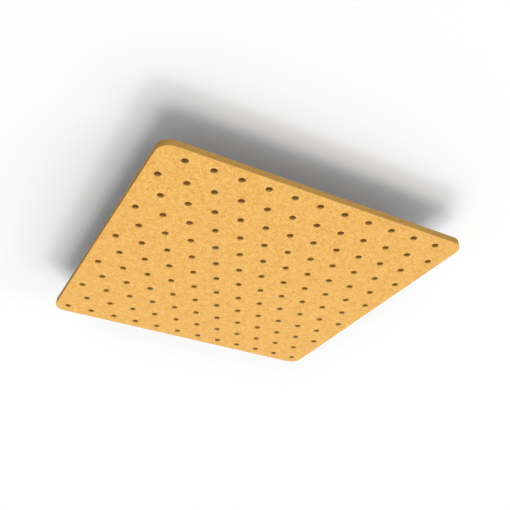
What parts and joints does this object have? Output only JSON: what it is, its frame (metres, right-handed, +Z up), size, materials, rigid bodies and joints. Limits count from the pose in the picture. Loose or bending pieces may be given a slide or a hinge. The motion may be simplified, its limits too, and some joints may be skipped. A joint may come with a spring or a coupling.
{
  "type": "ceiling panel",
  "caption": "Square acoustic ceiling panel of thick pressed felt, with rounded corners and a staggered field of round perforations.",
  "frame": {"origin": "centre of the back face, the upper face of the board, which is turned to the ceiling", "axes": "+Z up from the back face towards the ceiling, so the visible face is at -Z; X along the rows of holes; -Y towards the edge beside the first short row"},
  "size_m": [1.2, 1.2, 0.024],
  "materials": {
    "felt": "matt golden yellow pressed polyester felt with short, faint fibres in all directions; cut edges and hole walls of the same felt"
  },
  "bodies": {
    "root": {"felt_board": "felt"}
  },
  "joints": []
}
